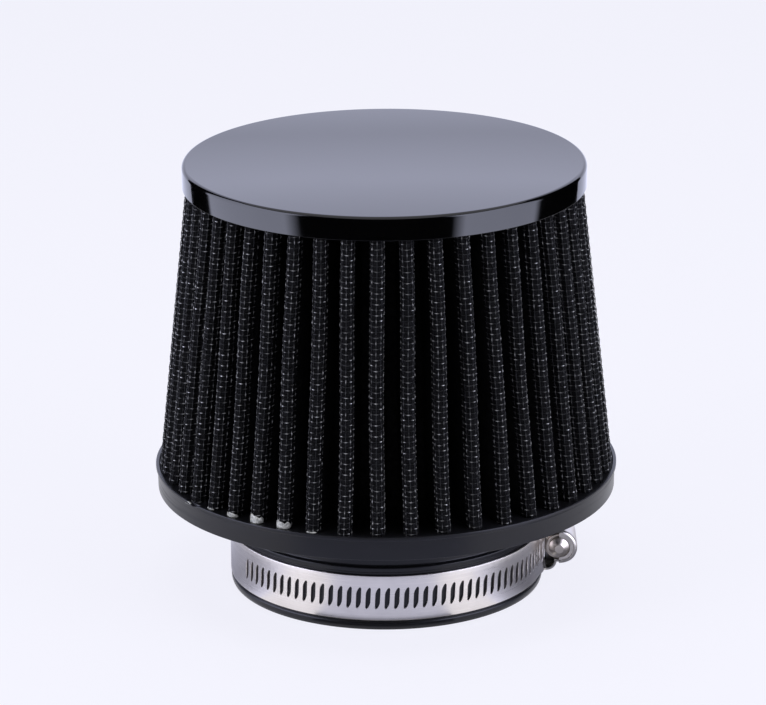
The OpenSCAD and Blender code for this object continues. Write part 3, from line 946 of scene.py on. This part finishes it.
def makeFloor():
    # camera and glossy rays see mostly the pale background's colour, the rest of it takes the shadow
    bpy.ops.mesh.primitive_circle_add(vertices=96, radius=3.0, fill_type="NGON")
    floor = bpy.context.object
    floor.name = "floor"
    floor.location.z = -0.05 * mm
    material, tree, shader = newMaterial("paleFloor")[:3]
    shader.inputs["Base Color"].default_value = (*studio["floorColour"], 1)
    shader.inputs["Roughness"].default_value = 0.8
    shader.inputs["Specular IOR Level"].default_value = 0.0
    glow = addNode(tree, "ShaderNodeEmission", (0, -300), Color=(*studio["pale"], 1),
                   Strength=studio["floorLight"])
    seen = seenBy(tree, (-400, 300), "Is Camera Ray", "Is Glossy Ray")
    share = calc(tree, (100, 300), "MULTIPLY", seen, studio["floorGlow"])
    mixSurface(tree, share, shader, glow, "Material Output")
    floor.data.materials.append(material)


def makeCard(name, angles, radii, heights, across, up, glow=1.0):
    # A card that only reflections see, from one angle to the other, its lower and upper edge each at a
    # radius and a height. across and up are ramps of its light along and up it, lists of (share, light).
    columns = 33
    turn = np.linspace(*angles, columns)
    xy = around(turn[None, :], np.broadcast_to(np.array(radii)[:, None], (2, columns)))
    z = np.broadcast_to(np.array(heights)[:, None, None], (2, columns, 1))
    points = np.concatenate([xy, z], -1).reshape(-1, 3) * mm
    mesh = bpy.data.meshes.new(name)
    faces = gridQuads(2, columns)
    mesh.from_pydata(points.tolist(), [], faces.tolist())
    rows, share = np.meshgrid([0.0, 1.0], np.linspace(0, 1, columns), indexing="ij")
    uv = np.stack([share, rows], -1).reshape(-1, 2)[faces.ravel()]
    mesh.uv_layers.new(name="surface").data.foreach_set("uv", uv.astype(np.float32).ravel())
    card = bpy.data.objects.new(name, mesh)
    bpy.context.scene.collection.objects.link(card)
    material, tree, shader = newMaterial(name)[:3]
    tree.nodes.remove(shader)
    x, y = surfaceUv(tree, (-900, 0))
    both = calc(tree, (-100, 0), "MULTIPLY", ramp(tree, (-450, 150), x, across),
                ramp(tree, (-450, -150), y, up))
    light = addNode(tree, "ShaderNodeEmission", (200, 0), Color=(*studio["cardTint"], 1),
                    Strength=calc(tree, (50, 0), "MULTIPLY", both, glow))
    feed(tree.nodes["Material Output"].inputs["Surface"], light.outputs[0])
    mesh.materials.append(material)
    for ray in ("camera", "diffuse", "shadow", "transmission"):
        setattr(card, "visible_" + ray, False)


def makeLamp(name, place, size, power):
    # a rectangular lamp that points at the object's middle and leaves no glint
    lamp = bpy.data.lights.new(name, "AREA")
    lamp.shape = "RECTANGLE"
    lamp.size, lamp.size_y = size
    lamp.energy = power
    holder = bpy.data.objects.new(name, lamp)
    holder.location = place
    aim = Vector((0, 0, 0.06)) - Vector(place)
    holder.rotation_euler = aim.to_track_quat("-Z", "Y").to_euler()
    holder.visible_glossy = False
    bpy.context.scene.collection.objects.link(holder)


even = [(0.0, 1.0), (1.0, 1.0)]
rising = [(0.0, 0.9), (1.0, 1.0)]
cards = {  # angles, radii, heights, light across, light up, glow
    "darkAround": ((-132, 132), (285.0, 285.0), (-1.0, 420.0), [(0.0, 0.0), (1.0, 0.0)], even),
    "softboxLeft": ((-109, -43), (280.0, 280.0), (1.0, 360.0),
                    [(0.0, 0.0), (0.04, 0.62), (0.5, 0.9), (0.86, 1.0), (0.99, 0.0)], rising, 4.1),
    "softboxRight": ((34, 90), (280.0, 280.0), (1.0, 360.0),
                     [(0.01, 0.0), (0.14, 1.0), (0.5, 0.9), (0.92, 0.7), (1.0, 0.0)], rising, 4.1),
    "darkFloorNear": ((-29, 26), (44.0, 92.0), (0.6, 0.6), even,
                      [(0.0, 0.01), (0.05, 0.03), (0.11, 0.62), (0.3, 0.6), (1.0, 0.76)]),
    "darkFloorMiddle": ((-34, 31), (92.0, 150.0), (0.6, 0.6), even, [(0.0, 0.7), (1.0, 0.5)]),
    "darkFloorFar": ((-46, 38), (150.0, 283.0), (0.6, 0.6), even, [(0.0, 0.5), (1.0, 0.5)]),
    "darkFloorLeft": ((-130, -58), (44.0, 92.0), (0.6, 0.6),
                      [(0.0, 0.8), (0.35, 0.4), (0.65, 0.28), (0.85, 0.4), (1.0, 0.85)], even),
    "darkFloorRight": ((48, 130), (44.0, 92.0), (0.6, 0.6),
                       [(0.0, 0.85), (0.1, 0.4), (0.25, 0.12), (0.65, 0.25), (1.0, 0.8)], even),
    "paleBack": ((132, 228), (300.0, 300.0), (-1.0, 500.0), even,
                 [(0.0, 1.2), (0.25, 1.15), (0.36, 0.95), (0.44, 1.52), (0.6, 1.3), (1.0, 0.6)]),
}
lamps = {  # place and size in metres, power in watts
    "lampLeft": ((-0.75, -0.45, 0.45), (0.5, 0.7), 3.5),
    "lampRight": ((0.75, -0.45, 0.45), (0.5, 0.7), 3.5),
    "lampTop": ((0, 0.1, 1.1), (0.9, 0.9), 5.0),
}


makeWorld()
makeFloor()
for name, settings in cards.items():
    makeCard(name, *settings)
for name, settings in lamps.items():
    makeLamp(name, *settings)
print("stage ready")


# Camera: fitted to the ellipses of the cap, the rim, the band and the neck

view = {"place": (-0.66, -1113.2, 431.6), "tilt": 18.265, "roll": 0.374, "lens": 201.95}


def makeCamera():
    camera = bpy.data.cameras.new("camera")
    camera.lens = view["lens"]
    camera.sensor_width = 36.0
    camera.clip_start = 0.05
    holder = bpy.data.objects.new("camera", camera)
    tilt, roll = np.radians(view["tilt"]), np.radians(view["roll"])
    ahead = np.array([0, np.cos(tilt), -np.sin(tilt)])
    up = np.array([0, np.sin(tilt), np.cos(tilt)])
    right = np.array([1.0, 0, 0])
    cameraRight = right * np.cos(roll) - up * np.sin(roll)
    cameraUp = right * np.sin(roll) + up * np.cos(roll)
    placed = Matrix.Identity(4)
    for column, axis in enumerate((cameraRight, cameraUp, -ahead, np.array(view["place"]) * mm)):
        placed.col[column].xyz = axis
    holder.matrix_world = placed
    bpy.context.scene.collection.objects.link(holder)
    bpy.context.scene.camera = holder


makeCamera()
bpy.context.scene.view_settings.view_transform = "Standard"
